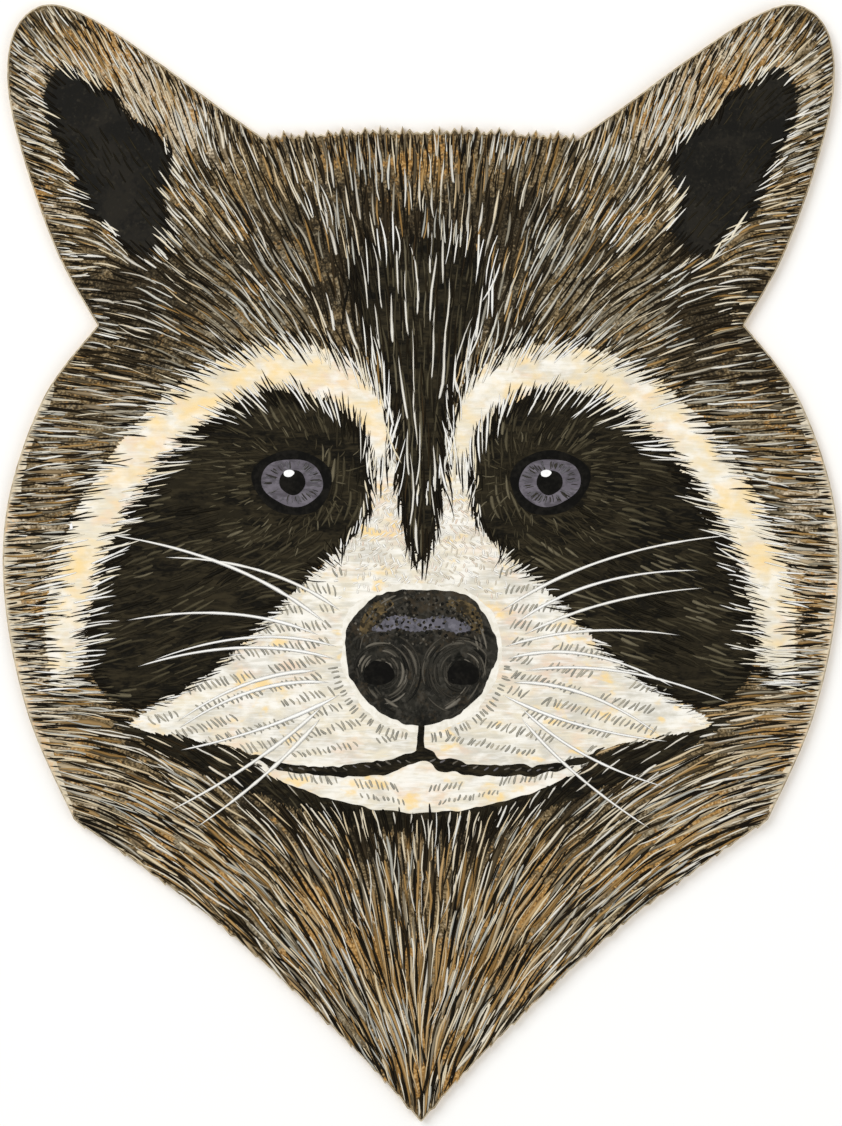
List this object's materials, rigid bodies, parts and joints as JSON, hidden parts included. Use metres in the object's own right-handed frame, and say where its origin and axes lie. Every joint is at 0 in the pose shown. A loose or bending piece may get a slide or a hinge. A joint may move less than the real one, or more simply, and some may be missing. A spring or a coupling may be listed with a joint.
{
  "type": "painted raccoon head cut-out",
  "caption": "Flat board sawn to a raccoon's head with a pointed bib and fur-cut rim, its face brush-painted with fine hairs over a mottled ground.",
  "frame": {"origin": "middle of the board's outline, on its flat back face", "axes": "+Z out of the painted face, +Y from the bib's tip towards the ears, +X to the right seen from the front"},
  "size_m": [0.28, 0.374, 0.004],
  "materials": {
    "board": "birch plywood, sanded, bare edges and back",
    "paint": "matt to satin brush paint on wood, mottled browns, greys, near-black and cream"
  },
  "bodies": {
    "root": {"board": "board"}
  },
  "joints": []
}
